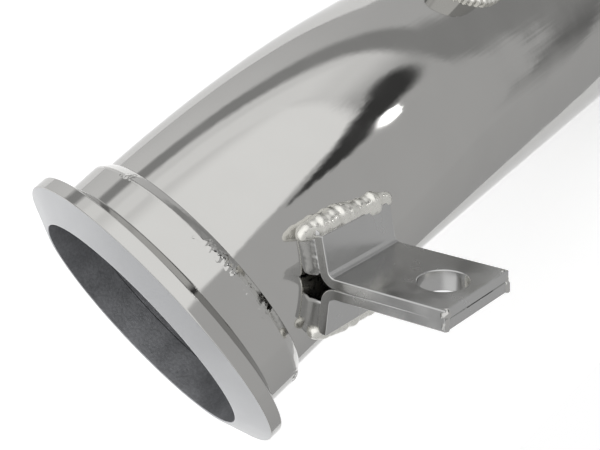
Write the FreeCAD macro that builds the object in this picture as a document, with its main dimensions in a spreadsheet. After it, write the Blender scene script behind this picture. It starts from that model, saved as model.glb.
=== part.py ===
"""Turbo downpipe: a bent 4 inch stainless tube with a coned clamp flange at its inlet,
a bracket of two folded plates set back to back, and a sensor boss past the bend.

The inlet axis lies along X and the gas runs towards +X. The origin is the centre of the inlet
bore in the plane of the flange's front lip. Past the bend the tube runs down, away from +Z,
and the bracket stands on the -Y side. Lengths are in millimetres and angles in degrees.
"""
import FreeCAD, Part
import math
import os
import Sketcher

SIZES = (
    ("tube_outer", "101.6", "outside diameter of the tube"),
    ("tube_wall", "1.65", "wall of the tube"),
    ("bend_start", "28", "from the flange face to where the bend begins"),
    ("bend_radius", "203.2", "radius of the bend on the tube's centreline"),
    ("bend_angle", "30", "angle that the bend turns through"),
    ("outlet_run", "300", "straight run past the bend"),
    ("bore_step", "0.15", "how far the flange's bore stands in from the tube's"),
    ("lip_width", "1.3", "flat lip round the bore"),
    ("cone_depth", "4.9", "axial depth of the front cone"),
    ("rim_rise", "12.2", "height of the flange's rim above the tube"),
    ("rim_land", "5.2", "width of the rim"),
    ("back_cone_depth", "4", "axial depth of the back cone"),
    ("collar_wall", "2.9", "height of the collar above the tube"),
    ("flange_length", "26.5", "from the flange face to the collar's rear edge"),
    ("socket_depth", "12", "depth of the socket that the tube stands in"),
    ("socket_clearance", "0.1", "gap all round the tube in its socket"),
    ("seam_lap", "1.2", "how far the flange weld laps onto the collar"),
    ("seam_run", "4.8", "how far the flange weld runs along the tube"),
    ("seam_shoulder", "1.8", "width of the flange weld's slopes beside its crown"),
    ("seam_rise", "0.35", "how far the flange weld's crown stands above the collar"),
    ("seat_angle", "9.3", "place of the bracket along the bend"),
    ("clock_angle", "35.4", "place of the bracket round the tube, up from the -Y side"),
    ("seat_standoff", "8.1", "gap between the tube and the root of the bracket's arm"),
    ("skew_angle", "22.8", "turn of the bracket about its own arm"),
    ("rake_angle", "7.9", "swing of the arm along the tube"),
    ("tilt_angle", "4.7", "swing of the arm round the tube"),
    ("plate_thickness", "4", "thickness of each bracket plate"),
    ("plate_width", "40", "width of the bracket plates"),
    ("arm_length", "45.3", "from the fold to the end of the arm"),
    ("fold_radius", "2.5", "inside radius of the fold"),
    ("leg_height", "19", "from the seam between the plates to the tip of a leg"),
    ("leg_angle", "9", "lean of a leg towards the tube"),
    ("bolt_hole", "18", "hole through the bracket's arm"),
    ("hole_setback", "13.9", "from the end of the arm to the hole's centre"),
    ("upper_weld_radius", "5.2", "radius of the upper bracket weld's bead"),
    ("upper_weld_taper", "4", "length of the upper weld's tapered ends"),
    ("upper_weld_lift", "0.8", "from the tip of the upper leg to the middle of its weld"),
    ("upper_weld_back", "1.2", "how far the upper weld's middle lies behind the leg"),
    ("upper_weld_angle", "5", "slant of the upper weld towards the tube"),
    ("upper_weld_near", "5.5", "how far the upper bracket weld runs past the leg towards the flange"),
    ("upper_weld_far", "2.5", "how far the upper bracket weld runs past the leg's other edge"),
    ("lower_weld_radius", "4.8", "radius of the lower bracket weld's bead"),
    ("lower_weld_taper", "3.2", "length of the lower weld's tapered ends"),
    ("lower_weld_lift", "0.8", "from the tip of the lower leg to the middle of its weld"),
    ("lower_weld_back", "0.8", "how far the lower weld's middle lies behind the leg"),
    ("lower_weld_angle", "2", "slant of the lower weld towards the tube"),
    ("lower_weld_near", "3", "how far the lower bracket weld runs past the leg's far edge"),
    ("lower_weld_far", "3", "how far the lower bracket weld runs past the leg towards the flange"),
    ("tack_radius", "3.4", "radius of a corner weld"),
    ("tack_reach", "1.5", "how far a corner weld stands out from the arm"),
    ("tack_height", "6.4", "height of a corner weld"),
    ("boss_run", "50", "from the bend's end to the sensor boss"),
    ("boss_angle", "18", "lean of the sensor boss from the top of the tube towards +Y"),
    ("boss_outer", "28", "outside diameter of the sensor boss"),
    ("boss_bore", "16.5", "bore of the boss, at the thread's crests"),
    ("probe_clearance", "0.5", "gap all round the boss's bore in the hole through the tube"),
    ("boss_height", "13", "height of the boss above the tube"),
    ("boss_edge", "1", "chamfer round the top of the boss"),
    ("boss_mouth", "1.2", "chamfer at the mouth of the boss's thread"),
    ("boss_weld_size", "4", "how far up the boss the weld round its foot runs"),
    ("boss_weld_spread", "6.5", "how far the slope of that weld runs out from the boss"),
    ("boss_weld_depth", "5.5", "how deep that slope runs below the top of the tube"),
)

# Radius of the circle that an outline's corners are first drawn on
FIRST_RADIUS = 50

doc = FreeCAD.newDocument("turbo_downpipe")


def make_sheet():
    """Puts every driving size in a spreadsheet, one row each, with its own alias."""
    table = doc.addObject("Spreadsheet::Sheet", "sizes")
    for row, (alias, value, meaning) in enumerate(SIZES, start=1):
        table.set("A%d" % row, meaning)
        table.set("B%d" % row, value)
        table.setAlias("B%d" % row, alias)
    doc.recompute()
    return table


sheet = make_sheet()


def size(alias):
    """The number in the sheet under that alias, for the first drawing of a sketch."""
    return float(sheet.get(alias))


# Places are products of placements, written as expressions.

def step(across="0", along="0", up="0"):
    """A plain shift."""
    return "placement(vector(%s; %s; %s); rotation(vector(0; 0; 1); 0))" % (across, along, up)


def turn(axis, angle):
    """A plain turn about one of the axes, named X, Y or Z."""
    vector = {"X": "vector(1; 0; 0)", "Y": "vector(0; 1; 0)", "Z": "vector(0; 0; 1)"}[axis]
    return "placement(vector(0; 0; 0); rotation(%s; %s))" % (vector, angle)


def chain(*places):
    """One placement after the other, the first outermost."""
    return " * ".join(places)


def along_bend(angle):
    """The frame of the tube's centreline at that angle of the bend: X along the tube."""
    return chain(step("sizes.bend_start", "0", "-sizes.bend_radius"), turn("Y", angle),
                 step("0", "0", "sizes.bend_radius"))


BRACKET_SEAT = chain(along_bend("sizes.seat_angle"), turn("X", "-sizes.clock_angle"), turn("Z", "-90"),
                     step("sizes.tube_outer / 2 + sizes.seat_standoff"),
                     turn("X", "-sizes.skew_angle"), turn("Z", "sizes.rake_angle"),
                     turn("Y", "-sizes.tilt_angle"))
OTHER_WAY_UP = turn("X", "180")
BOSS_SEAT = chain(along_bend("sizes.bend_angle"), step("sizes.boss_run"), turn("X", "-sizes.boss_angle"))
# The height of a leg's foot, the flange's bore, the collar's radius, and how far the tip of a
# leg's front face lies behind the fold
FOOT_UP = "(sizes.plate_thickness + sizes.fold_radius * (1 - sin(sizes.leg_angle)))"
BORE = "(sizes.tube_outer / 2 - sizes.tube_wall - sizes.bore_step)"
COLLAR = "(sizes.tube_outer / 2 + sizes.collar_wall)"
TIP_BACK = ("sizes.fold_radius * cos(sizes.leg_angle)"
            " + (sizes.leg_height - " + FOOT_UP + ") * tan(sizes.leg_angle)")


# Helpers for sketches and features

def new_body(name):
    body = doc.addObject("PartDesign::Body", name)
    body.Label = name
    return body


def new_sketch(body, role, name):
    """A sketch on one of the body's own origin planes."""
    sketch = body.newObject("Sketcher::SketchObject", name)
    for feature in body.Origin.OriginFeatures:
        if feature.Role == role:
            sketch.AttachmentSupport = (feature, [""])
    sketch.MapMode = "FlatFace"
    return sketch


def bind(sketch, kind, where, value, expression):
    """Adds a constraint and ties its value to the sheet."""
    index = sketch.addConstraint(Sketcher.Constraint(kind, *where, value))
    sketch.setExpression("Constraints[%d]" % index, expression)


def outline(sketch, corners):
    """Draws a closed outline of straight lines and ties each corner to the sheet.

    A corner is a pair of expressions, across and up from the sketch's origin. The lines are
    first drawn round a circle, and the constraints then pull every corner to its place.
    """
    count = len(corners)
    centre = FreeCAD.Vector(2, 2, 0) * FIRST_RADIUS
    first = []
    for index in range(count):
        angle = 2 * math.pi * index / count
        first.append(centre + FreeCAD.Vector(math.cos(angle), math.sin(angle), 0) * FIRST_RADIUS)
    for index in range(count):
        sketch.addGeometry(Part.LineSegment(first[index], first[(index + 1) % count]))
    for index in range(count):
        sketch.addConstraint(Sketcher.Constraint("Coincident", index, 2, (index + 1) % count, 1))
    for index, (across, up) in enumerate(corners):
        point = first[index]
        for kind, value, expression in (("DistanceX", point.x, across), ("DistanceY", point.y, up)):
            if expression == "0":
                axis = -2 if kind == "DistanceX" else -1
                sketch.addConstraint(Sketcher.Constraint("PointOnObject", index, 1, axis))
            else:
                bind(sketch, kind, (-1, 1, index, 1), value, expression)


def revolve(body, sketch, name, axis):
    feature = body.newObject("PartDesign::Revolution", name)
    feature.Profile = sketch
    feature.ReferenceAxis = (sketch, [axis])
    feature.Angle = 360
    sketch.Visibility = False
    doc.recompute()
    return feature


def cut(base, tools, name):
    """The base with each of the tools cut away from it, under the node's own name."""
    last = base
    for index, tool in enumerate(tools):
        result = doc.addObject("Part::Cut", "%s_cut_%d" % (name, index + 1))
        result.Base = last
        result.Tool = tool
        result.Refine = False
        last = result
    last.Label = name
    doc.recompute()
    return last


def gather(name, pieces):
    """Several solids of one kind as one node."""
    group = doc.addObject("Part::Compound", name)
    group.Links = pieces
    group.Label = name
    doc.recompute()
    return group


# Tube

def make_tube_path():
    """The centreline: a straight end in the socket, the bend, and the straight run past it."""
    path = doc.addObject("Sketcher::SketchObject", "tube_path")
    upright = FreeCAD.Rotation(FreeCAD.Vector(1, 0, 0), 90)
    path.Placement = FreeCAD.Placement(FreeCAD.Vector(0, 0, 0), upright)
    start = size("flange_length") - size("socket_depth")
    bend = size("bend_start")
    radius = size("bend_radius")
    angle = math.radians(size("bend_angle"))
    end = FreeCAD.Vector(bend + radius * math.sin(angle), radius * (math.cos(angle) - 1), 0)
    run = FreeCAD.Vector(math.cos(angle), -math.sin(angle), 0) * size("outlet_run")
    circle = Part.Circle(FreeCAD.Vector(bend, -radius, 0), FreeCAD.Vector(0, 0, 1), radius)
    path.addGeometry(Part.LineSegment(FreeCAD.Vector(start, 0, 0), FreeCAD.Vector(bend, 0, 0)))
    path.addGeometry(Part.ArcOfCircle(circle, math.pi / 2 - angle, math.pi / 2))
    path.addGeometry(Part.LineSegment(end, end + run))
    path.addConstraint(Sketcher.Constraint("PointOnObject", 0, 1, -1))
    path.addConstraint(Sketcher.Constraint("Horizontal", 0))
    path.addConstraint(Sketcher.Constraint("Tangent", 0, 2, 1, 2))
    path.addConstraint(Sketcher.Constraint("Tangent", 1, 1, 2, 1))
    bind(path, "DistanceX", (-1, 1, 0, 1), start, "sizes.flange_length - sizes.socket_depth")
    bind(path, "DistanceX", (-1, 1, 0, 2), bend, "sizes.bend_start")
    bind(path, "Radius", (1,), radius, "sizes.bend_radius")
    bind(path, "Angle", (2,), -angle, "-sizes.bend_angle * 1 deg")
    bind(path, "Distance", (2,), size("outlet_run"), "sizes.outlet_run")
    doc.recompute()
    return path


def sweep_round(path, name, radius):
    """A round bar of that radius along the whole path."""
    section = doc.addObject("Part::Circle", name + "_section")
    section.setExpression("Radius", radius)
    start = step("sizes.flange_length - sizes.socket_depth")
    section.setExpression("Placement", chain(start, turn("Y", "90")))
    bar = doc.addObject("Part::Sweep", name)
    bar.Sections = [section]
    bar.Spine = (path, ["Edge1", "Edge2", "Edge3"])
    bar.Solid = True
    bar.Frenet = False
    doc.recompute()
    return bar


def make_tube(path, envelope):
    """The tube itself, with the hole under the sensor boss."""
    inside = sweep_round(path, "tube_inside", "sizes.tube_outer / 2 - sizes.tube_wall")
    probe_hole = doc.addObject("Part::Cylinder", "probe_hole")
    probe_hole.setExpression("Radius", "sizes.boss_bore / 2 + sizes.probe_clearance")
    probe_hole.setExpression("Height", "sizes.tube_outer")
    probe_hole.setExpression("Placement", BOSS_SEAT)
    return cut(envelope, [inside, probe_hole], "downpipe_tube")


# Inlet flange

def make_flange():
    """The turned ring: front cone, rim, back cone and the collar with the tube's socket."""
    body = new_body("inlet_flange")
    section = new_sketch(body, "XZ_Plane", "flange_section")
    rim_front = "sizes.cone_depth"
    rim_back = rim_front + " + sizes.rim_land"
    collar_front = rim_back + " + sizes.back_cone_depth"
    stop = "sizes.flange_length - sizes.socket_depth"
    rim = "sizes.tube_outer / 2 + sizes.rim_rise"
    socket = "sizes.tube_outer / 2 + sizes.socket_clearance"
    outline(section, (
        ("0", BORE),
        ("0", BORE + " + sizes.lip_width"),
        (rim_front, rim),
        (rim_back, rim),
        (collar_front, COLLAR),
        ("sizes.flange_length", COLLAR),
        ("sizes.flange_length", socket),
        (stop, socket),
        (stop, BORE),
    ))
    revolve(body, section, "flange_ring", "H_Axis")
    return body


def make_flange_weld(envelope):
    """The seam round the tube behind the collar, crowned between its two edges."""
    body = new_body("flange_seam_blank")
    section = new_sketch(body, "XZ_Plane", "flange_seam_section")
    back = "sizes.flange_length"
    toe = back + " + sizes.seam_run"
    head = back + " - sizes.seam_lap"
    under = "(sizes.tube_outer - sizes.tube_wall) / 2"
    outline(section, (
        (back, under),
        (toe, under),
        (toe + " - sizes.seam_shoulder", "sizes.tube_outer / 2 + sizes.seam_shoulder"),
        (head + " + sizes.seam_shoulder", COLLAR + " + sizes.seam_rise"),
        (head, COLLAR),
        (back, COLLAR),
    ))
    revolve(body, section, "flange_seam_ring", "H_Axis")
    return cut(body, [envelope], "flange_seam")


# Bracket

def draw_fold(sketch):
    """The section of one plate: the arm along X, the fold, and the leg leaning to the tube."""
    thick = size("plate_thickness")
    inside = size("fold_radius")
    outside = inside + thick
    lean = math.radians(size("leg_angle"))
    centre = FreeCAD.Vector(0, outside, 0)
    back_way = FreeCAD.Vector(-math.cos(lean), -math.sin(lean), 0)
    up_way = FreeCAD.Vector(-math.sin(lean), math.cos(lean), 0)
    front_foot = centre + back_way * inside
    back_foot = centre + back_way * outside
    front_tip = front_foot + up_way * ((size("leg_height") - front_foot.y) / up_way.y)
    back_tip = front_tip + back_way * thick
    arm_end = FreeCAD.Vector(size("arm_length"), 0, 0)
    arm_top = FreeCAD.Vector(0, thick, 0)
    normal = FreeCAD.Vector(0, 0, 1)
    origin = FreeCAD.Vector(0, 0, 0)
    foot_angle = math.pi + lean
    bottom_angle = 1.5 * math.pi
    outer_circle = Part.Circle(centre, normal, outside)
    inner_circle = Part.Circle(centre, normal, inside)
    seam = sketch.addGeometry(Part.LineSegment(arm_end, origin))
    outer = sketch.addGeometry(Part.ArcOfCircle(outer_circle, foot_angle, bottom_angle))
    back = sketch.addGeometry(Part.LineSegment(back_foot, back_tip))
    tip = sketch.addGeometry(Part.LineSegment(back_tip, front_tip))
    front = sketch.addGeometry(Part.LineSegment(front_tip, front_foot))
    inner = sketch.addGeometry(Part.ArcOfCircle(inner_circle, foot_angle, bottom_angle))
    top = sketch.addGeometry(Part.LineSegment(arm_top, arm_top + arm_end))
    end = sketch.addGeometry(Part.LineSegment(arm_top + arm_end, arm_end))
    for constraint in (
        Sketcher.Constraint("Coincident", seam, 2, -1, 1),
        Sketcher.Constraint("Horizontal", seam),
        Sketcher.Constraint("Tangent", seam, 2, outer, 2),
        Sketcher.Constraint("Tangent", outer, 1, back, 1),
        Sketcher.Constraint("Coincident", back, 2, tip, 1),
        Sketcher.Constraint("Coincident", tip, 2, front, 1),
        Sketcher.Constraint("Perpendicular", back, tip),
        Sketcher.Constraint("Parallel", back, front),
        Sketcher.Constraint("Tangent", front, 2, inner, 1),
        Sketcher.Constraint("Coincident", inner, 3, outer, 3),
        Sketcher.Constraint("Tangent", inner, 2, top, 1),
        Sketcher.Constraint("Coincident", top, 2, end, 1),
        Sketcher.Constraint("Coincident", end, 2, seam, 1),
        Sketcher.Constraint("Vertical", end),
    ):
        sketch.addConstraint(constraint)
    bind(sketch, "Radius", (inner,), inside, "sizes.fold_radius")
    bind(sketch, "Radius", (outer,), outside, "sizes.fold_radius + sizes.plate_thickness")
    bind(sketch, "DistanceX", (seam, 2, seam, 1), arm_end.x, "sizes.arm_length")
    bind(sketch, "DistanceY", (-1, 1, front, 1), front_tip.y, "sizes.leg_height")
    bind(sketch, "DistanceX", (front, 1, -1, 1), -front_tip.x, TIP_BACK)


def make_plate(name, envelope, seat):
    """One folded plate, coped where its leg meets the tube."""
    body = new_body(name + "_blank")
    fold = new_sketch(body, "XZ_Plane", name + "_fold")
    draw_fold(fold)
    pad = body.newObject("PartDesign::Pad", name + "_pad")
    pad.Profile = fold
    pad.setExpression("Length", "sizes.plate_width")
    pad.SideType = "Symmetric"
    doc.recompute()
    hole = new_sketch(body, "XY_Plane", name + "_hole")
    centre = FreeCAD.Vector(size("arm_length") - size("hole_setback"), 0, 0)
    hole.addGeometry(Part.Circle(centre, FreeCAD.Vector(0, 0, 1), size("bolt_hole") / 2))
    hole.addConstraint(Sketcher.Constraint("PointOnObject", 0, 3, -1))
    bind(hole, "DistanceX", (-1, 1, 0, 3), centre.x, "sizes.arm_length - sizes.hole_setback")
    bind(hole, "Radius", (0,), size("bolt_hole") / 2, "sizes.bolt_hole / 2")
    pocket = body.newObject("PartDesign::Pocket", name + "_pocket")
    pocket.Profile = hole
    pocket.Type = "ThroughAll"
    pocket.Midplane = True
    body.Tip = pocket
    body.setExpression("Placement", seat)
    doc.recompute()
    return cut(body, [envelope], name)


def make_leg_weld(name, side, seat, tools):
    """The bead laid along the tip of one leg, onto the tube."""
    body = new_body(name + "_bead")
    section = new_sketch(body, "XZ_Plane", name + "_section")
    near = "-sizes.plate_width / 2 - sizes.%s_weld_near" % side
    far = "sizes.plate_width / 2 + sizes.%s_weld_far" % side
    radius = "sizes.%s_weld_radius" % side
    taper = "sizes.%s_weld_taper" % side
    outline(section, (
        (near, "0"),
        (far, "0"),
        (far + " - " + taper, radius),
        (near + " + " + taper, radius),
    ))
    revolve(body, section, name + "_turning", "H_Axis")
    tip_across = "-(" + TIP_BACK + ") - sizes.plate_thickness * cos(sizes.leg_angle)"
    tip_up = "sizes.leg_height - sizes.plate_thickness * sin(sizes.leg_angle)"
    lift = step("-sizes.%s_weld_back" % side, "0", "sizes.%s_weld_lift" % side)
    slant = {"upper": "90 - sizes.upper_weld_angle", "lower": "90 + sizes.lower_weld_angle"}[side]
    body.setExpression("Placement", chain(seat, step(tip_across, "0", tip_up),
                                          turn("Y", "-sizes.leg_angle"), lift, turn("Z", slant)))
    doc.recompute()
    return cut(body, tools, name)


def make_corner_welds(tools):
    """The two short welds that close the seam at the corners of the arm's end."""
    lumps = []
    across = "sizes.arm_length - sizes.tack_radius + sizes.tack_reach"
    for index, side in enumerate(("-", "")):
        along = "%s(sizes.plate_width / 2 - sizes.tack_radius + sizes.tack_reach)" % side
        lump = doc.addObject("Part::Cylinder", "corner_lump_%d" % (index + 1))
        lump.setExpression("Radius", "sizes.tack_radius")
        lump.setExpression("Height", "sizes.tack_height")
        place = chain(BRACKET_SEAT, step(across, along, "-sizes.tack_height / 2"))
        lump.setExpression("Placement", place)
        lumps.append(lump)
    pair = gather("corner_lumps", lumps)
    return cut(pair, tools, "corner_seams")


# Sensor boss

def make_boss(envelope):
    """The threaded boss, turned about its own Z and coped to the tube."""
    body = new_body("boss_blank")
    section = new_sketch(body, "XZ_Plane", "boss_section")
    foot = "sizes.tube_outer / 4"
    top = "sizes.tube_outer / 2 + sizes.boss_height"
    outline(section, (
        ("sizes.boss_bore / 2", foot),
        ("sizes.boss_outer / 2", foot),
        ("sizes.boss_outer / 2", top + " - sizes.boss_edge"),
        ("sizes.boss_outer / 2 - sizes.boss_edge", top),
        ("sizes.boss_bore / 2 + sizes.boss_mouth", top),
        ("sizes.boss_bore / 2", top + " - sizes.boss_mouth"),
    ))
    revolve(body, section, "boss_turning", "V_Axis")
    body.setExpression("Placement", BOSS_SEAT)
    doc.recompute()
    return cut(body, [envelope], "sensor_boss")


def make_boss_weld(envelope):
    """The weld round the foot of the boss."""
    body = new_body("boss_weld_blank")
    section = new_sketch(body, "XZ_Plane", "boss_weld_section")
    inside = "sizes.boss_outer / 2"
    low = "sizes.tube_outer / 2 - sizes.boss_weld_depth"
    outline(section, (
        (inside, low),
        (inside + " + sizes.boss_weld_spread", low),
        (inside, "sizes.tube_outer / 2 + sizes.boss_weld_size"),
    ))
    revolve(body, section, "boss_weld_ring", "V_Axis")
    body.setExpression("Placement", BOSS_SEAT)
    doc.recompute()
    return cut(body, [envelope], "boss_seam")


def check(nodes):
    """Stops if any object failed or any node has no sound solid."""
    for item in doc.Objects:
        if "Invalid" in item.State or "Error" in item.State:
            raise RuntimeError("%s failed: %s" % (item.Name, item.State))
    for node in nodes:
        shape = node.Shape
        if shape.isNull() or not shape.isValid() or not shape.Solids:
            raise RuntimeError("%s has no sound solid" % node.Label)


def main():
    path = make_tube_path()
    envelope = sweep_round(path, "tube_envelope", "sizes.tube_outer / 2")
    flange = make_flange()
    tube = make_tube(path, envelope)
    flange_weld = make_flange_weld(envelope)
    upper = make_plate("bracket_upper_plate", envelope, BRACKET_SEAT)
    lower = make_plate("bracket_lower_plate", envelope, chain(BRACKET_SEAT, OTHER_WAY_UP))
    upper_weld = make_leg_weld("upper_leg_seam", "upper", BRACKET_SEAT, [envelope, upper])
    lower_weld = make_leg_weld("lower_leg_seam", "lower", chain(BRACKET_SEAT, OTHER_WAY_UP),
                               [envelope, lower])
    corner_welds = make_corner_welds([upper, lower])
    boss = make_boss(envelope)
    boss_weld = make_boss_weld(envelope)
    tube_welds = gather("tube_welds", [flange_weld, boss_weld])
    bracket_welds = gather("bracket_welds", [upper_weld, lower_weld, corner_welds])
    nodes = [flange, tube, tube_welds, upper, lower, bracket_welds, boss]
    doc.recompute()
    check(nodes)
    os.makedirs("parts", exist_ok=True)
    for node in nodes:
        node.Shape.exportStep("parts/%s.step" % node.Label)
        print(node.Label, len(node.Shape.Solids), "solid", round(node.Shape.Volume, 1), "mm3")


main()
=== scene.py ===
"""Looks for a turbo downpipe: a mirror-polished 4 inch stainless tube with a coned clamp flange,
a bracket of two folded plates and a sensor boss, lit in a pale light tent."""
import math
import random

import bpy
from bpy.props import FloatProperty, FloatVectorProperty, IntProperty, PointerProperty
from mathutils import Matrix, Vector


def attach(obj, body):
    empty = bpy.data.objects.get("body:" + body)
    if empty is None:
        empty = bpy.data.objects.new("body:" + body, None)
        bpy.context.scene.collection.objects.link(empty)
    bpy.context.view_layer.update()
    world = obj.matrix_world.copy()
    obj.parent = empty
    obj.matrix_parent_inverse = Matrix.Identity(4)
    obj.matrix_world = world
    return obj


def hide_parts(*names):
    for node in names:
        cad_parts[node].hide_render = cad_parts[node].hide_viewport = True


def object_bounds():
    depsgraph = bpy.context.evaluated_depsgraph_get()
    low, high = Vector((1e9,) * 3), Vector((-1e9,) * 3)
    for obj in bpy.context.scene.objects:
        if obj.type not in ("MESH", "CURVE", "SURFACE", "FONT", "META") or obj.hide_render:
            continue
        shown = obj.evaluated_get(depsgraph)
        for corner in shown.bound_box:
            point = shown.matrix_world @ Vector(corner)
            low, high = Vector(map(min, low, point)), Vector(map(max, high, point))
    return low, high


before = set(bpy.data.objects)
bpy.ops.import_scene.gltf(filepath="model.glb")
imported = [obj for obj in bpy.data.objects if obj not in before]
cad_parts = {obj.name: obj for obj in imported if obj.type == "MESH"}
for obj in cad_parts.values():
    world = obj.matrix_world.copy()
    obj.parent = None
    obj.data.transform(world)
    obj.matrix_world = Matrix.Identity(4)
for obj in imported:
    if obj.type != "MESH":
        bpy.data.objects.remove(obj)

bl_info = {
    "name": "Turbo downpipe",
    "version": (1, 0, 0),
    "blender": (4, 5, 0),
    "location": "View3D > Sidebar > Downpipe",
    "description": "Builds the visible pieces of a turbo downpipe, and the light tent round it",
    "category": "Object",
}

CAD_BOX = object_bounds()


def length(name, description, default):
    return FloatProperty(name=name, description=description, default=default, unit="LENGTH", precision=5)


def angle(name, description, degrees):
    return FloatProperty(name=name, description=description, default=math.radians(degrees), subtype="ANGLE")


def count(name, description, default):
    return IntProperty(name=name, description=description, default=default)


def colour(name, description, default):
    return FloatVectorProperty(name=name, description=description, default=default, subtype="COLOR",
                               size=3, min=0, max=1)


def level(name, description, default):
    return FloatProperty(name=name, description=description, default=default, min=0)


class TubeSizes(bpy.types.PropertyGroup):
    outer: length("Outside diameter", "Outside diameter of the tube", 0.1016)
    wall: length("Wall", "Wall of the tube", 0.00165)
    bend_start: length("Bend start", "From the flange's face to where the bend begins", 0.028)
    bend_radius: length("Bend radius", "Radius of the bend on the centreline", 0.2032)
    bend_turn: angle("Bend", "Angle that the bend turns through", 30)
    outlet_run: length("Outlet run", "Straight run past the bend", 0.3)
    round_steps: count("Steps round", "Faces round the tube", 288)
    bend_steps: count("Steps along the bend", "Faces along the bend", 60)


class FlangeSizes(bpy.types.PropertyGroup):
    bore: length("Bore", "Bore of the flange", 0.098)
    lip: length("Lip", "Flat lip round the bore", 0.0013)
    cone_depth: length("Cone depth", "Axial depth of the front cone", 0.0049)
    rim: length("Rim diameter", "Outside diameter of the rim", 0.126)
    land: length("Rim land", "Width of the rim", 0.0052)
    back_cone: length("Back cone", "Axial depth of the back cone", 0.004)
    collar: length("Collar diameter", "Outside diameter of the collar", 0.1074)
    depth: length("Length", "From the face to the collar's rear edge", 0.0265)
    socket: length("Socket", "Depth of the socket that the tube stands in", 0.012)
    edge: length("Edge break", "Rounding of the turned edges", 0.00035)


class BracketSizes(bpy.types.PropertyGroup):
    seat: angle("Seat", "Place of the bracket along the bend", 9.3)
    clock: angle("Clock", "Place of the bracket round the tube", 35.4)
    standoff: length("Standoff", "Gap between the tube and the root of the arm", 0.0081)
    skew: angle("Skew", "Turn of the bracket about its own arm", 22.8)
    rake: angle("Rake", "Swing of the arm along the tube", 7.9)
    tilt: angle("Tilt", "Swing of the arm round the tube", 4.7)
    plate: length("Plate", "Thickness of each plate", 0.004)
    width: length("Width", "Width of the plates", 0.04)
    arm: length("Arm", "From the fold to the end of the arm", 0.0453)
    fold: length("Fold", "Inside radius of the fold", 0.0025)
    leg: length("Leg height", "From the seam between the plates to the tip of a leg", 0.019)
    lean: angle("Lean", "Lean of a leg towards the tube", 9)
    hole: length("Hole", "Diameter of the bolt hole", 0.018)
    setback: length("Hole setback", "From the end of the arm to the hole's centre", 0.0139)
    edge: length("Edge break", "Rounding of the plates' edges", 0.0005)
    gap_near: length("Gap start", "Where the open seam in the arm's end begins", -0.010)
    gap_far: length("Gap end", "Where the open seam in the arm's end stops", 0.0065)
    gap: length("Gap", "Width of the open seam", 0.0004)


class BossSizes(bpy.types.PropertyGroup):
    run: length("Place", "From the bend's end to the boss", 0.05)
    lean: angle("Lean", "Lean of the boss from the top of the tube", 18)
    outer: length("Outside diameter", "Outside diameter of the boss", 0.028)
    crest: length("Thread crest", "Diameter at the thread's crests", 0.0165)
    root: length("Thread root", "Diameter at the thread's roots", 0.018)
    pitch: length("Pitch", "Pitch of the thread", 0.0015)
    height: length("Height", "Height of the boss above the tube", 0.013)
    edge: length("Chamfer", "Chamfer round the top of the boss", 0.001)
    mouth: length("Mouth", "Chamfer at the mouth of the thread", 0.0012)


class WeldSizes(bpy.types.PropertyGroup):
    seam_start: length("Seam start", "Where the flange weld's bead begins on the collar", 0.0256)
    seam_end: length("Seam end", "Where the flange weld's bead ends on the tube", 0.0311)
    seam_pitch: length("Seam pitch", "From one drop of the flange weld to the next", 0.0019)
    upper_radius: length("Upper bead", "Radius of the upper bracket weld's bead", 0.0052)
    upper_lift: length("Upper lift", "From the leg's tip to the middle of its weld", 0.0008)
    upper_back: length("Upper set back", "How far the upper bead lies behind the leg", 0.0012)
    upper_slant: angle("Upper slant", "Slant of the upper bead towards the tube", 5)
    upper_near: length("Upper overrun", "How far the upper bead runs past the leg towards the flange", 0.004)
    upper_far: length("Upper far end", "How far the upper bead runs past the leg's other edge", 0.0025)
    lower_radius: length("Lower bead", "Radius of the lower bracket weld's bead", 0.0048)
    lower_lift: length("Lower lift", "From the lower leg's tip to the middle of its weld", 0.0008)
    lower_back: length("Lower set back", "How far the lower bead lies behind the leg", 0.0008)
    lower_slant: angle("Lower slant", "Slant of the lower bead towards the tube", 2)
    lower_overrun: length("Lower overrun", "How far the lower bead runs past the leg's edges", 0.001)
    corner_drop: length("Corner drop", "Radius of a drop at the corners of the arm's end", 0.0019)
    boss_drop: length("Boss drop", "Radius of a drop in the weld round the boss", 0.0028)
    grain: length("Grain", "Smallest detail that the melted beads keep", 0.00036)


class FinishSettings(bpy.types.PropertyGroup):
    steel: colour("Steel", "Colour of the polished stainless steel", (0.53, 0.525, 0.51))
    satin: colour("Satin steel", "Colour of the brushed face", (0.46, 0.465, 0.475))
    mill: colour("Mill steel", "Colour of the unpolished wall inside", (0.35, 0.355, 0.37))
    plate: colour("Plate steel", "Colour of the bracket's plates", (0.5, 0.5, 0.495))
    # The weld colour also goes onto the bracket plates' faces turned to the tube, as painted bounce light
    weld: colour("Weld", "Colour of the weld beads", (0.8, 0.79, 0.745))
    floor: colour("Floor", "Colour of the floor", (0.93, 0.93, 0.93))


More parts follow.
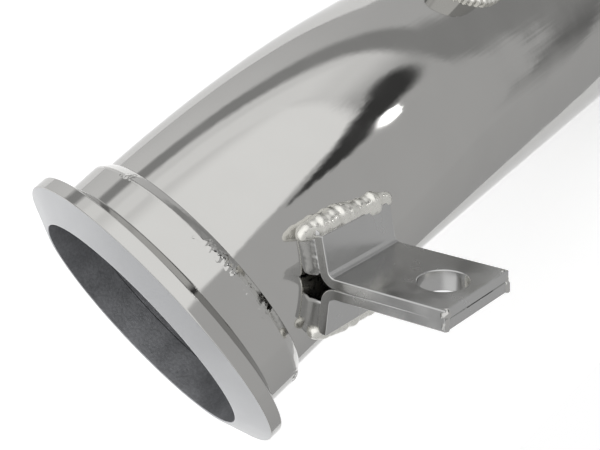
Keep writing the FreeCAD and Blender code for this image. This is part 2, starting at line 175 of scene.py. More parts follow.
class StageSettings(bpy.types.PropertyGroup):
    lens: FloatProperty(name="Lens", description="Focal length of the camera", default=89.06, unit="CAMERA")
    place: FloatVectorProperty(name="Camera", description="Place of the camera",
                               default=(-0.08273, -0.10437, 0.53234), subtype="TRANSLATION")
    right: FloatVectorProperty(name="Right", description="Direction of the picture's right side",
                               default=(0.6984, -0.7113, 0.0792), subtype="DIRECTION")
    forward: FloatVectorProperty(name="Forward", description="Direction that the camera looks in",
                                 default=(0.2719, 0.1613, -0.9487), subtype="DIRECTION")
    tent: length("Tent", "Radius of the light tent", 3)
    table_near: length("Table near edge", "Distance of the floor's near edge from the inlet's axis", 0.14)
    table_far: length("Table far edge", "Distance of the floor's far edge from the inlet's axis", 0.36)
    table_left: length("Table left edge", "Distance of the floor's left edge from the inlet's face", 0.3)
    table_right: length("Table right edge", "Distance of the floor's right edge from the inlet's face", 0.66)
    soft_box: level("Soft box", "Brightness of the light overhead", 1.19)
    near_wall: level("Near wall", "Brightness of the tent's grey wall", 0.6)
    far_wall: level("Far wall", "Brightness of the tent's bright wall", 0.98)
    horizon: level("Horizon", "Brightness of the band where the tent meets the floor", 0.36)
    seam: level("Tent seam", "Brightness of the dark seam low in the tent's grey side", 0.2)
    room: level("Room", "Brightness of the room past the floor's edge", 0.58)
    gear: level("Gear", "Brightness of the dark gear at the soft box's edge", 0.06)
    floor_glow: level("Floor glow", "White that the floor adds for the camera and in reflections", 0.3)
    lamp: level("Lamp", "Brightness of the small bare lamp", 6)


GROUPS = {"downpipe_tube": TubeSizes, "downpipe_flange": FlangeSizes, "downpipe_bracket": BracketSizes,
          "downpipe_boss": BossSizes, "downpipe_welds": WeldSizes, "downpipe_finish": FinishSettings,
          "downpipe_stage": StageSettings}


# Places along the pipe

def moved(x, y, z):
    return Matrix.Translation((x, y, z))


def turned(turn, axis):
    return Matrix.Rotation(turn, 4, axis)


def scaled(*radii):
    return Matrix.Diagonal((*radii, 1))


def along_bend(turn):
    """The frame of the tube's centreline at that angle of the bend: X along the tube."""
    tube = bpy.context.scene.downpipe_tube
    return moved(tube.bend_start, 0, -tube.bend_radius) @ turned(turn, "Y") @ moved(0, 0, tube.bend_radius)


def off_line(point):
    """The distance of a point from the tube's centreline."""
    tube = bpy.context.scene.downpipe_tube
    turn = math.atan2(point.x - tube.bend_start, point.z + tube.bend_radius)
    there = along_bend(min(max(turn, 0), tube.bend_turn)).inverted() @ point
    return math.hypot(there.y, there.z)


def bracket_seat():
    """The bracket's own frame: X out along the arm, Y across the plates, Z up from the seam."""
    tube = bpy.context.scene.downpipe_tube
    b = bpy.context.scene.downpipe_bracket
    return (along_bend(b.seat) @ turned(-b.clock, "X") @ turned(-math.pi / 2, "Z")
            @ moved(tube.outer / 2 + b.standoff, 0, 0) @ turned(-b.skew, "X")
            @ turned(b.rake, "Z") @ turned(-b.tilt, "Y"))


def boss_seat():
    """The boss's own frame: Z along its bore, from the tube's centreline."""
    tube = bpy.context.scene.downpipe_tube
    boss = bpy.context.scene.downpipe_boss
    return along_bend(tube.bend_turn) @ moved(boss.run, 0, 0) @ turned(-boss.lean, "X")


# Modelling by hand

# Points this close, in metres, are one point
SAME_POINT = 1e-7


def start_fresh():
    """Leaves edit mode with nothing selected."""
    if bpy.context.object and bpy.context.object.mode != "OBJECT":
        bpy.ops.object.mode_set(mode="OBJECT")
    bpy.ops.object.select_all(action="DESELECT")


def edit(kind="VERT"):
    bpy.ops.object.mode_set(mode="EDIT")
    bpy.ops.mesh.select_mode(type=kind)


def leave():
    bpy.ops.object.mode_set(mode="OBJECT")


def pick(action="SELECT"):
    """Selects everything in edit mode, or nothing."""
    bpy.ops.mesh.select_all(action=action)


def extrude(step):
    bpy.ops.mesh.extrude_region_move(TRANSFORM_OT_translate={"value": step})


def merge(distance):
    """Merges all points that lie that close, in edit mode."""
    pick()
    bpy.ops.mesh.remove_doubles(threshold=distance)


def outward():
    """Turns every face outward and leaves edit mode."""
    pick()
    bpy.ops.mesh.normals_make_consistent(inside=False)
    leave()


def freeze():
    """Applies the active object's place, turn and size to its mesh."""
    bpy.ops.object.transform_apply(location=True, rotation=True, scale=True)


def named(name):
    """The object just made, under its own name."""
    made = bpy.context.object
    made.name = name
    made.data.name = name
    return made


def take_up(piece):
    """Makes that piece the only one selected, and active."""
    start_fresh()
    piece.select_set(True)
    bpy.context.view_layer.objects.active = piece


def seat(piece, place):
    """Puts the piece's mesh at that place and leaves the object at the origin."""
    piece.data.transform(place)
    piece.data.update()


def draw_line(name, points, closed=False):
    """A wire, drawn by extruding one point to the next."""
    start_fresh()
    bpy.ops.mesh.primitive_plane_add(size=0.001)
    wire = named(name)
    edit()
    bpy.ops.mesh.merge(type="CENTER")
    bpy.ops.transform.translate(value=Vector(points[0]))
    for here, there in zip(points, points[1:]):
        extrude(Vector(there) - Vector(here))
    if closed:
        extrude(Vector(points[0]) - Vector(points[-1]))
        merge(SAME_POINT)
    leave()
    return wire


def lathe(name, points, axis, steps):
    """A closed outline turned all the way round an axis through the origin."""
    ring = draw_line(name, points, closed=True)
    edit()
    pick()
    bpy.ops.mesh.spin(steps=steps, angle=2 * math.pi, center=(0, 0, 0), axis=axis)
    merge(SAME_POINT * 10)
    outward()
    return ring


def finish_with(piece, kind, **settings):
    """Adds one modifier with those settings and applies it."""
    take_up(piece)
    modifier = piece.modifiers.new(kind.title(), kind)
    for key, value in settings.items():
        setattr(modifier, key, value)
    bpy.ops.object.modifier_apply(modifier=modifier.name)


def break_edges(piece, width, segments=3, degrees=25):
    finish_with(piece, "BEVEL", width=width, segments=segments, limit_method="ANGLE",
                angle_limit=math.radians(degrees), use_clamp_overlap=True)


def break_outer_edges(piece, width, degrees=40, seam_plane=1e-5):
    """Rounds the sharp edges except those in the plane where the two plates meet."""
    take_up(piece)
    edit("EDGE")
    pick("DESELECT")
    bpy.ops.mesh.edges_select_sharp(sharpness=math.radians(degrees))
    leave()
    points = piece.data.vertices
    for edge in piece.data.edges:
        if all(abs(points[index].co.z) < seam_plane for index in edge.vertices):
            edge.select = False
    edit("EDGE")
    bpy.ops.mesh.bevel(offset=width, segments=3, affect="EDGES", clamp_overlap=True)
    leave()


def smooth(piece, degrees=30, flat_faces=False):
    """Smooth shading up to that angle; with flat_faces, the large faces stay flat beside rounded edges."""
    take_up(piece)
    bpy.ops.object.shade_smooth_by_angle(angle=math.radians(degrees))
    if flat_faces:
        finish_with(piece, "WEIGHTED_NORMAL", mode="FACE_AREA", weight=100, keep_sharp=True)


def cut_away(piece, tool, keep_tool=False):
    """Takes the tool's volume out of the piece."""
    finish_with(piece, "BOOLEAN", object=tool, operation="DIFFERENCE", solver="EXACT")
    if not keep_tool:
        bpy.data.objects.remove(tool)


def dress(piece, names, node):
    """Gives the piece its finishes, by name, and its place in the frame."""
    made = finishes()
    piece.data.materials.clear()
    for name in names:
        piece.data.materials.append(made[name])
    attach(piece, "root")
    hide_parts(node)


def pick_points(piece, test):
    """Selects the piece's points that pass the test, in edit mode."""
    take_up(piece)
    edit()
    pick("DESELECT")
    leave()
    for point in piece.data.vertices:
        point.select = test(point)
    edit()


def weld_drop(flat_below=-0.05, tail_below=-0.3):
    """One drop of weld metal of radius 1, flat underneath and drawn out to one side."""
    start_fresh()
    bpy.ops.mesh.primitive_ico_sphere_add(subdivisions=3, radius=1)
    drop = named("weld_drop")
    pick_points(drop, lambda point: point.co.z < flat_below)
    bpy.ops.transform.resize(value=(1, 1, 0.6))
    leave()
    pick_points(drop, lambda point: point.co.y < tail_below)
    bpy.ops.transform.resize(value=(0.86, 1.18, 0.9))
    leave()
    return drop


def lay(name, places):
    """Drops of weld metal at those places, joined into one piece."""
    drop = weld_drop()
    copies = []
    for place in places:
        copy = drop.copy()
        copy.data = drop.data.copy()
        copy.data.transform(place)
        bpy.context.scene.collection.objects.link(copy)
        copies.append(copy)
    start_fresh()
    for copy in copies:
        copy.select_set(True)
    bpy.context.view_layer.objects.active = copies[0]
    bpy.ops.object.join()
    bpy.data.objects.remove(drop)
    return named(name)


def join_to(piece, other):
    take_up(piece)
    other.select_set(True)
    bpy.ops.object.join()


def melt(piece, grain, passes):
    """Runs a heap of drops together into one skin."""
    finish_with(piece, "REMESH", mode="VOXEL", voxel_size=grain, use_smooth_shade=True)
    finish_with(piece, "SMOOTH", factor=0.5, iterations=passes)


def sway(rng, reach):
    """A random number between minus and plus that reach."""
    return rng.uniform(-reach, reach)


def pipe_line(name, radius, first, last_run, steps, inlet_steps=4, outlet_steps=24):
    """A round skin along the tube's line, from that station on the inlet's axis, past the bend."""
    tube = bpy.context.scene.downpipe_tube
    start_fresh()
    bpy.ops.mesh.primitive_circle_add(vertices=steps, radius=radius, rotation=(0, math.pi / 2, 0))
    skin = named(name)
    freeze()
    edit()
    pick()
    bpy.ops.transform.translate(value=(first, 0, 0))
    straight = Vector((tube.bend_start - first, 0, 0))
    for _ in range(inlet_steps):
        extrude(straight / inlet_steps)
    bpy.ops.mesh.spin(steps=tube.bend_steps, angle=-tube.bend_turn,
                      center=(tube.bend_start, 0, -tube.bend_radius), axis=(0, 1, 0))
    way = Vector((math.cos(tube.bend_turn), 0, -math.sin(tube.bend_turn)))
    for _ in range(outlet_steps):
        extrude(way * last_run / outlet_steps)
    merge(SAME_POINT)
    leave()
    return skin


def envelope():
    """The tube's outside as a solid plug, which the bracket, the boss and the welds are coped to."""
    radius = bpy.context.scene.downpipe_tube.outer / 2
    plug = pipe_line("tube_plug", radius, first=0.02, last_run=0.12, steps=192)
    edit("EDGE")
    pick("DESELECT")
    bpy.ops.mesh.select_non_manifold()
    bpy.ops.mesh.edge_face_add()
    outward()
    return plug


def cope(piece, sliver=2e-6):
    """Cuts the piece to the tube's outside and clears the slivers that the cut leaves."""
    cut_away(piece, envelope())
    take_up(piece)
    edit()
    merge(sliver)
    leave()


# Finishes

# The levels between which a noise counts, from where it does nothing to where it does all
HAZE = (0.35, 0.7)


def new_material(name):
    """A material with one shader."""
    material = bpy.data.materials.new(name)
    material.use_nodes = True
    tree = material.node_tree
    tree.nodes.clear()
    out = tree.nodes.new("ShaderNodeOutputMaterial")
    shader = tree.nodes.new("ShaderNodeBsdfPrincipled")
    tree.links.new(shader.outputs["BSDF"], out.inputs["Surface"])
    return material, shader


def feed(tree, socket, value):
    """Gives a socket a number, a vector or another node's output."""
    if isinstance(value, bpy.types.NodeSocket):
        tree.links.new(value, socket)
    else:
        socket.default_value = value


def calc(tree, operation, *values):
    made = tree.nodes.new("ShaderNodeMath")
    made.operation = operation
    for socket, value in zip(made.inputs, values):
        feed(tree, socket, value)
    return made.outputs[0]


def fade(tree, value, low, high, first=0, last=1):
    """Goes smoothly from the first level at low to the last at high."""
    made = tree.nodes.new("ShaderNodeMapRange")
    made.interpolation_type = "SMOOTHSTEP"
    for name, given in (("Value", value), ("From Min", low), ("From Max", high), ("To Min", first),
                        ("To Max", last)):
        feed(tree, made.inputs[name], given)
    return made.outputs["Result"]


def between(tree, share, first, last):
    made = tree.nodes.new("ShaderNodeMix")
    for index, given in ((0, share), (2, first), (3, last)):
        feed(tree, made.inputs[index], given)
    return made.outputs[0]


def noise(tree, vector, scale, detail=2):
    made = tree.nodes.new("ShaderNodeTexNoise")
    made.inputs["Scale"].default_value = scale
    made.inputs["Detail"].default_value = detail
    tree.links.new(vector, made.inputs["Vector"])
    return made.outputs["Fac"]


def bump(tree, height, depth, under=None):
    """A relief of that depth in metres, on top of another one."""
    made = tree.nodes.new("ShaderNodeBump")
    made.inputs["Strength"].default_value = 1
    made.inputs["Distance"].default_value = depth
    tree.links.new(height, made.inputs["Height"])
    if under:
        tree.links.new(under, made.inputs["Normal"])
    return made.outputs["Normal"]


def tinted(tree, tint, share, change):
    """The tint, a little darker or lighter with the share."""
    made = tree.nodes.new("ShaderNodeMix")
    made.data_type = "RGBA"
    feed(tree, made.inputs[0], share)
    made.inputs[6].default_value = (*(value * (1 - change) for value in tint), 1)
    made.inputs[7].default_value = (*(min(1, value * (1 + change)) for value in tint), 1)
    return made.outputs[2]


def object_place(tree):
    return tree.nodes.new("ShaderNodeTexCoord").outputs["Object"]


def metal(name):
    material, shader = new_material(name)
    shader.inputs["Metallic"].default_value = 1
    return material, shader, material.node_tree, object_place(material.node_tree)


def coat(tree, shader, tint, roughness, relief):
    """Gives a metal its tint, its roughness and its relief."""
    feed(tree, shader.inputs["Base Color"], tint)
    feed(tree, shader.inputs["Roughness"], roughness)
    feed(tree, shader.inputs["Normal"], relief)


def polished(name, tint):
    """Mirror-polished, with the faint waves and haze that hand polishing leaves."""
    material, shader, tree, place = metal(name)
    shader.inputs["Specular Tint"].default_value = (0.74, 0.74, 0.74, 1)
    haze = noise(tree, place, 60, 4)
    waves = bump(tree, noise(tree, place, 26, 1), 0.00022)
    coat(tree, shader, tinted(tree, tint, haze, 0.03), fade(tree, haze, *HAZE, 0.05, 0.1),
         bump(tree, noise(tree, place, 420), 0.000004, waves))
    return material


def plate_metal(name, tint):
    """Flat plate, linished and polished over: calm, and duller than the tube."""
    material, shader, tree, place = metal(name)
    haze = noise(tree, place, 90, 4)
    waves = bump(tree, noise(tree, place, 30, 1), 0.00007)
    coat(tree, shader, tinted(tree, tint, haze, 0.05), fade(tree, haze, *HAZE, 0.18, 0.28),
         bump(tree, noise(tree, place, 500), 0.000005, waves))
    return material


def satin(name, tint):
    """Faced on a lathe: fine rings round the inlet's axis."""
    material, shader, tree, place = metal(name)
    apart = tree.nodes.new("ShaderNodeSeparateXYZ")
    tree.links.new(place, apart.inputs[0])
    across, up = (calc(tree, "MULTIPLY", side, side) for side in apart.outputs[1:])
    radius = calc(tree, "SQRT", calc(tree, "ADD", across, up))
    rings = tree.nodes.new("ShaderNodeCombineXYZ")
    tree.links.new(radius, rings.inputs[0])
    cloud = noise(tree, place, 45, 3)
    coat(tree, shader, tinted(tree, tint, cloud, 0.05), fade(tree, cloud, 0.3, 0.7, 0.3, 0.38),
         bump(tree, noise(tree, rings.outputs[0], 2600), 0.00001))
    return material


def mill(name, tint):
    """The wall inside, as the tube left the mill: dull and a little grainy."""
    material, shader, tree, place = metal(name)
    shader.inputs["Metallic"].default_value = 0.8
    grain = noise(tree, place, 900, 3)
    cloud = noise(tree, place, 80, 3)
    coat(tree, shader, tinted(tree, tint, grain, 0.35), fade(tree, cloud, 0.35, 0.65, 0.34, 0.5),
         bump(tree, grain, 0.00008))
    return material


def dressed_weld(name, tint):
    """A weld bead that was ground and polished with the tube."""
    material, shader, tree, place = metal(name)
    grain = noise(tree, place, 260, 3)
    coat(tree, shader, tinted(tree, tint, grain, 0.06), fade(tree, grain, *HAZE, 0.06, 0.16),
         bump(tree, grain, 0.00006))
    return material


def weld_metal(name, tint):
    """Weld metal, brushed over but still uneven."""
    material, shader, tree, place = metal(name)
    grain = noise(tree, place, 750, 3)
    coat(tree, shader, tinted(tree, tint, noise(tree, place, 180), 0.08),
         fade(tree, grain, *HAZE, 0.26, 0.4), bump(tree, grain, 0.000006))
    return material


def finishes():
    """The materials, made once."""
    tints = bpy.context.scene.downpipe_finish
    made = {}
    for name, maker, tint in (("polished_steel", polished, tints.steel), ("satin_steel", satin, tints.satin),
                              ("mill_steel", mill, tints.mill), ("plate_steel", plate_metal, tints.plate),
                              # The weld finish is also painted bounce light on the bracket plates' faces
                              # turned to the tube
                              ("weld_steel", weld_metal, tints.weld),
                              ("seam_steel", dressed_weld, tints.steel)):
        made[name] = bpy.data.materials.get(name) or maker(name, tuple(tint))
    return made


# Light

# The tent's parts by direction. A turn is in degrees round Z from X, a fall in degrees down from the zenith,
# and the soft box's edges are slopes off the zenith. A pair says where a part fades in or out, but CLOTH,
# BAND_FALL and BAND_WIDTH are a first and a last value. GEAR has a turn, a fall and a radius a patch.
TEAR_SCALE = 16
TEAR_SHIFT = 0.16
NEAR_TO_FAR = (8, 26)
FAR_TO_NEAR = (-160, -120)
STRIP_TOP = (60, 64)
STRIP_FOOT = (71, 75)
STRIP_TURN = (28, 40)
STRIP_SHARE = 0.92
BOX_SLANT = 0.333
BOX_NEAR = (-0.5, -0.44)
BOX_RIGHT = (1.25, 1.5)
BOX_LEFT = (-1.6, -1.3)
BOX_FAR = (1, 1.6)
BOX_FOOT = (0.1, 0.2)
LEAST_HEIGHT = 0.05
ROOM_TO_CLOTH = (-22, -8)
CLOTH_TURN = (30, 80)
CLOTH = (0.66, 0.9)
BAND_TURN = 20
BAND_FALL = (82, 107)
BAND_REACH = 56
BAND_SINK = 27
BAND_SLOPE = 0.1
BAND_SIDES = (-16, 4)
BAND_WIDTH = (2.4, 5.6)
BAND_EDGE = (0.6, 1.4)
BAND_ENDS = (-34, -22)
SEAM_TO_HORIZON = (-26, -8)
GEAR = ((3, 66, 7.6), (-1, 61, 6), (-6, 56, 6), (-11, 52.5, 5.6), (-15, 49, 4.6), (-18, 46, 3.6),
        (-20.5, 43, 2.7), (-23, 40.5, 2), (-25.5, 38, 1.4), (-28, 36, 0.9))
GEAR_SOFT = 0.35
LAMP = (-12.5, 62, 3, 1.2)


def tent_cloth(s):
    """The light tent's inside: soft box, grey and bright walls, dark horizon and gear, and a small lamp."""
    material = bpy.data.materials.new("tent_cloth")
    material.use_nodes = True
    tree = material.node_tree
    tree.nodes.clear()
    out = tree.nodes.new("ShaderNodeOutputMaterial")
    light = tree.nodes.new("ShaderNodeEmission")
    tree.links.new(light.outputs[0], out.inputs["Surface"])
    ragged = tree.nodes.new("ShaderNodeTexNoise")
    ragged.inputs["Scale"].default_value = TEAR_SCALE
    tree.links.new(object_place(tree), ragged.inputs["Vector"])

    def vectors(operation, *values):
        made = tree.nodes.new("ShaderNodeVectorMath")
        made.operation = operation
        for socket, value in zip(made.inputs, values):
            feed(tree, socket, value)
        return made.outputs

    def least(first, second):
        return calc(tree, "MINIMUM", first, second)

    def spot(turn, fall, radius, soft):
        """A round patch at that turn and fall."""
        centre = Matrix.Rotation(math.radians(turn), 3, "Z") @ Matrix.Rotation(math.radians(fall), 3, "Y")
        near = math.cos(math.radians(radius - soft))
        far = math.cos(math.radians(radius + soft))
        return fade(tree, vectors("DOT_PRODUCT", way, centre @ Vector((0, 0, 1)))["Value"], far, near)

    torn = vectors("MULTIPLY_ADD", ragged.outputs["Color"], (TEAR_SHIFT,) * 3, object_place(tree))[0]
    way = vectors("NORMALIZE", torn)[0]
    apart = tree.nodes.new("ShaderNodeSeparateXYZ")
    tree.links.new(way, apart.inputs[0])
    x, y, z = apart.outputs
    down = calc(tree, "DEGREES", calc(tree, "ARCCOSINE", z))
    round_z = calc(tree, "DEGREES", calc(tree, "ARCTAN2", y, x))

    walls = calc(tree, "MAXIMUM", fade(tree, round_z, *NEAR_TO_FAR, s.near_wall, s.far_wall),
                 fade(tree, round_z, *FAR_TO_NEAR, s.far_wall, s.near_wall))
    strip = least(fade(tree, down, *STRIP_TOP), fade(tree, down, *STRIP_FOOT, 1, 0))
    strip = least(strip, fade(tree, round_z, *STRIP_TURN))
    walls = between(tree, strip, walls, s.soft_box * STRIP_SHARE)

    height = calc(tree, "MAXIMUM", z, LEAST_HEIGHT)
    across = calc(tree, "DIVIDE", x, height)
    aside = calc(tree, "DIVIDE", y, height)
    slanted = calc(tree, "SUBTRACT", aside, calc(tree, "MULTIPLY", across, BOX_SLANT))
    box = least(fade(tree, slanted, *BOX_NEAR), fade(tree, across, *BOX_RIGHT, 1, 0))
    box = least(box, fade(tree, across, *BOX_LEFT))
    box = least(box, fade(tree, aside, *BOX_FAR, 1, 0))
    box = least(box, fade(tree, z, *BOX_FOOT))
    glow = between(tree, box, walls, s.soft_box)

    # The dark band is highest at BAND_TURN, and sinks steeply to one side and slowly to the other
    turn = calc(tree, "SUBTRACT", round_z, BAND_TURN)
    past = calc(tree, "MAXIMUM", calc(tree, "DIVIDE", turn, -BAND_REACH), 0)
    fall = calc(tree, "MULTIPLY", calc(tree, "MULTIPLY", past, past), BAND_SINK)
    rise = calc(tree, "MULTIPLY", calc(tree, "MAXIMUM", turn, 0), BAND_SLOPE)
    middle = least(calc(tree, "ADD", calc(tree, "ADD", fall, rise), BAND_FALL[0]), BAND_FALL[1])
    off = calc(tree, "SUBTRACT", down, middle)
    cloth = fade(tree, round_z, *CLOTH_TURN, *CLOTH)
    below = between(tree, fade(tree, round_z, *ROOM_TO_CLOTH), s.room, cloth)
    glow = between(tree, fade(tree, off, -1, 1), glow, below)
    width = fade(tree, round_z, *BAND_SIDES, *BAND_WIDTH)
    band = fade(tree, calc(tree, "DIVIDE", calc(tree, "ABSOLUTE", off), width), *BAND_EDGE, 1, 0)
    band = least(band, fade(tree, round_z, *BAND_ENDS))
    glow = between(tree, band, glow, fade(tree, round_z, *SEAM_TO_HORIZON, s.seam, s.horizon))

    gear = 0
    for turn, fall, radius in GEAR:
        gear = calc(tree, "MAXIMUM", gear, spot(turn, fall, radius, radius * GEAR_SOFT))
    glow = between(tree, gear, glow, s.gear)
    glow = between(tree, spot(*LAMP), glow, s.lamp)
    feed(tree, light.inputs["Strength"], glow)
    return material


# Operators

class DOWNPIPE_OT_flange(bpy.types.Operator):
    """Turns the inlet flange: lip, brushed front cone, rim, back cone and collar"""
    bl_idname = "downpipe.flange"
    bl_label = "Inlet flange"

    def execute(self, context):
        f = context.scene.downpipe_flange
        tube = context.scene.downpipe_tube
        play = 0.0001
        bore = f.bore / 2
        rim = f.rim / 2
        collar = f.collar / 2
        socket = tube.outer / 2 + play
        stop = f.depth - f.socket
        back = f.cone_depth + f.land
        points = ((stop, 0, bore), (0, 0, bore), (0, 0, bore + f.lip), (f.cone_depth, 0, rim), (back, 0, rim),
                  (back + f.back_cone, 0, collar), (f.depth, 0, collar), (f.depth, 0, socket),
                  (stop, 0, socket))
        ring = lathe("inlet_flange_ring", points, axis=(1, 0, 0), steps=384)
        break_edges(ring, f.edge)
        smooth(ring, flat_faces=True)
        dress(ring, ("polished_steel", "satin_steel", "mill_steel"), "inlet_flange")
        for face in ring.data.polygons:
            out = math.hypot(face.center.y, face.center.z)
            if out < bore + f.edge * 0.5:
                face.material_index = 2
            elif face.center.x < f.cone_depth - f.edge * 0.5:
                face.material_index = 1
        return {"FINISHED"}


class DOWNPIPE_OT_tube(bpy.types.Operator):
    """Draws the bent tube, open at both ends, with its wall and the hole under the sensor boss"""
    bl_idname = "downpipe.tube"
    bl_label = "Tube"

    def execute(self, context):
        tube = context.scene.downpipe_tube
        f = context.scene.downpipe_flange
        boss = context.scene.downpipe_boss
        radius = tube.outer / 2
        skin = pipe_line("downpipe_tube_skin", radius, f.depth - f.socket, tube.outlet_run, tube.round_steps)
        edit()
        outward()
        finish_with(skin, "SOLIDIFY", thickness=tube.wall, offset=-1, use_even_offset=True)
        start_fresh()
        bpy.ops.mesh.primitive_cylinder_add(vertices=96, radius=boss.root / 2, depth=tube.outer)
        hole = named("probe_hole")
        seat(hole, boss_seat() @ moved(0, 0, radius))
        cut_away(skin, hole)
        smooth(skin, 40)
        dress(skin, ("polished_steel", "mill_steel"), "downpipe_tube")
        inside = radius - tube.wall * 0.9
        for face in skin.data.polygons:
            if off_line(face.center) < inside:
                face.material_index = 1
        return {"FINISHED"}


class DOWNPIPE_OT_bracket(bpy.types.Operator):
    """Folds the two bracket plates, drills the bolt hole and copes their legs to the tube"""
    bl_idname = "downpipe.bracket"
    bl_label = "Bracket plates"

    def execute(self, context):
        b = context.scene.downpipe_bracket
        saw_reach = 0.002
        # Faces turned to the tube past this level take the pale weld finish, as painted bounce light
        painted_bounce_facing = 0.4
        plug = envelope()
        way_up = Vector((-math.sin(b.lean), 0, math.cos(b.lean)))
        corner_up = b.fold * math.tan((math.pi / 2 - b.lean) / 2)
        corner = Vector((b.fold - corner_up, 0, b.plate)) - Vector((b.fold, 0, 0))
        tip = corner + way_up * ((b.leg - corner.z) / way_up.z)
        to_tube = bracket_seat().to_3x3() @ Vector((-1, 0, 0))
        for name, turn in (("upper", 0), ("lower", math.pi)):
            wire = draw_line("bracket_%s_plate_skin" % name, [tip, corner, (b.arm, 0, b.plate)])
            pick_points(wire, lambda point: (point.co - corner).length < 1e-6)
            bpy.ops.mesh.bevel(offset=corner_up, segments=12, affect="VERTICES", clamp_overlap=False)
            pick()
            bpy.ops.transform.translate(value=(0, -b.width / 2, 0))
            extrude((0, b.width, 0))
            outward()
            if min(face.normal.z for face in wire.data.polygons if abs(face.normal.x) < 0.1) < 0:
                edit()
                pick()
                bpy.ops.mesh.flip_normals()
                leave()
            finish_with(wire, "SOLIDIFY", thickness=b.plate, offset=-1, use_even_offset=True)
            start_fresh()
            bpy.ops.mesh.primitive_cylinder_add(vertices=128, radius=b.hole / 2, depth=b.plate * 6,
                                                location=(b.arm - b.setback, 0, 0))
            drill = named("drill")
            freeze()
            cut_away(wire, drill)
            break_outer_edges(wire, b.edge)
            start_fresh()
            bpy.ops.mesh.primitive_cube_add(size=1, location=(b.arm, (b.gap_near + b.gap_far) / 2, 0))
            saw = named("seam_saw")
            bpy.ops.transform.resize(value=(saw_reach, b.gap_far - b.gap_near, b.gap))
            freeze()
            cut_away(wire, saw)
            seat(wire, bracket_seat() @ turned(turn, "X"))
            cut_away(wire, plug, keep_tool=True)
            smooth(wire, 35, flat_faces=True)
            # The pale weld finish on the faces turned towards the tube is painted bounce light, which lifts
            # the dark gap between the legs and the tube
            dress(wire, ("plate_steel", "weld_steel"), "bracket_%s_plate" % name)
            for face in wire.data.polygons:
                if face.normal.dot(to_tube) > painted_bounce_facing:
                    face.material_index = 1
        bpy.data.objects.remove(plug)
        return {"FINISHED"}


class DOWNPIPE_OT_flange_seam(bpy.types.Operator):
    """Lays the weld between the collar and the tube, drop by drop, rough in a few patches"""
    bl_idname = "downpipe.flange_seam"
    bl_label = "Flange weld"

    def execute(self, context):
        w = context.scene.downpipe_welds
        f = context.scene.downpipe_flange
        tube_radius = context.scene.downpipe_tube.outer / 2
        collar = f.collar / 2
        root_depth = 0.0009
        under = tube_radius - root_depth
        # The bead's outline: its root in the tube's wall, its toe on the tube, and its lap on the collar
        section = ((f.depth, 0, under), (w.seam_end - 0.0004, 0, under),
                   (w.seam_end, 0, tube_radius + 0.0002), (w.seam_end - 0.0016, 0, tube_radius + 0.0014),
                   (w.seam_start + 0.0015, 0, collar + 0.0001), (w.seam_start, 0, collar - 0.0001),
                   (f.depth, 0, collar - 0.0006))
        bead = lathe("flange_weld_bead", section, axis=(1, 0, 0), steps=256)
        rng = random.Random(11)
        # Where the seam is rough: the middle of each patch round the axis and its spread, in radians
        patches = ((-2.6, 0.2), (-1.7, 0.15), (-0.68, 0.06), (0.22, 0.16), (0.5, 0.03), (0.7, 0.06),
                   (1.6, 0.2), (2.7, 0.25))
        spatter_per_radian = 130
        places = []
        for middle, spread in patches:
            for _ in range(int(spread * spatter_per_radian)):
                turn = middle + sway(rng, 1.3) * spread
                size = rng.uniform(0.0004, 0.0007)
                places.append(turned(turn, "X")
                              @ moved(w.seam_start + rng.uniform(0, 0.0014), 0,
                                      collar + rng.uniform(-0.0004, -0.0001))
                              @ turned(sway(rng, 1), "Z") @ scaled(size * 2, size, size * 0.8))
        slope = math.radians(31)
        seam_middle = 0.0283
        seam_top = tube_radius + 0.0024
        drops = round(2 * math.pi * tube_radius / w.seam_pitch)
        for index in range(drops):
            turn = 2 * math.pi * (index + sway(rng, 0.18)) / drops - math.pi
            rough = max(math.exp(-((turn - middle) / spread) ** 2) for middle, spread in patches)
            # A rough drop stands higher, and is longer and thicker, than one that was dressed
            sink = 0.0018 - 0.0004 * rough + sway(rng, 0.00015) * rough
            places.append(turned(turn, "X") @ moved(seam_middle + sway(rng, 0.0003), 0, seam_top)
                          @ turned(slope, "Y") @ moved(0, 0, -sink) @ turned(sway(rng, 0.25), "Z")
                          @ scaled(0.0026 + 0.0003 * rough, 0.0019, 0.0013 + 0.00025 * rough))
        join_to(bead, lay("seam_drops", places))
        melt(bead, w.grain, passes=3)
        cope(bead)
        smooth(bead, 60)
        dress(bead, ("seam_steel",), "tube_welds")
        return {"FINISHED"}


